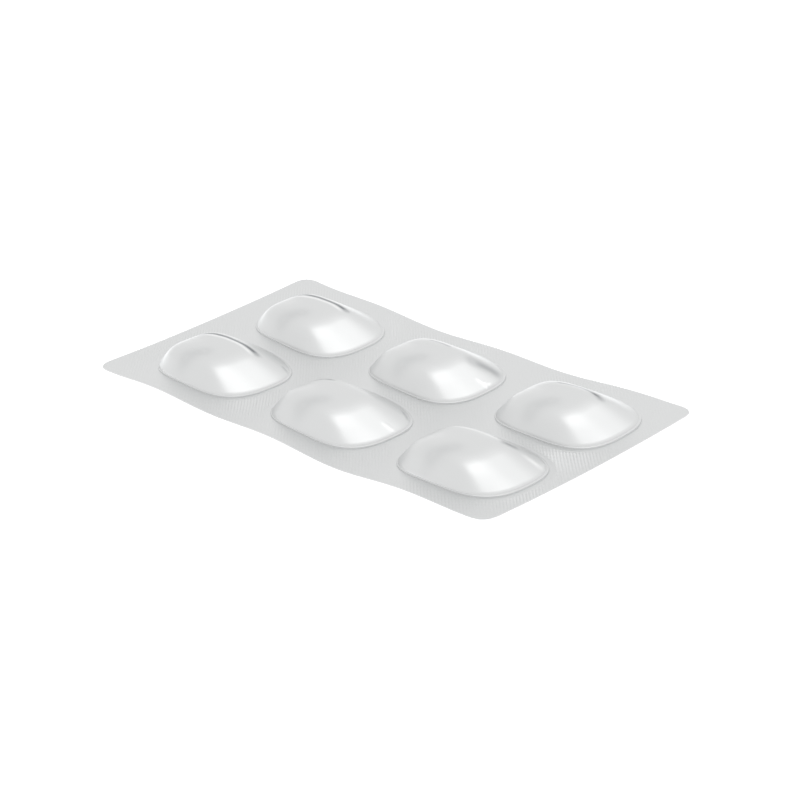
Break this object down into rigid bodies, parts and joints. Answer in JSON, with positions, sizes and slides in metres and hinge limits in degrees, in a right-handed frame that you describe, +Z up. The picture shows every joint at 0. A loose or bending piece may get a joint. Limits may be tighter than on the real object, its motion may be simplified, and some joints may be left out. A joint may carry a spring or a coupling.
{
  "type": "pill blister pack",
  "caption": "Sealed cold-formed foil blister pack: pillow-shaped tablet cavities in two rows on a thin, gently waved sheet with rounded corners.",
  "frame": {"origin": "middle of the pack's underside, on the surface it lies on", "axes": "+X along the pack's length, past the three columns of cavities; +Y across its two rows; +Z up, from the lid foil towards the crowns of the cavities"},
  "size_m": [0.105, 0.058, 0.007],
  "materials": {
    "formed_foil": "satin cold-formed aluminium foil, bright on the stretched domes and finely knurled on the sealed sheet"
  },
  "bodies": {
    "root": {"blister_pack": "formed_foil"}
  },
  "joints": []
}
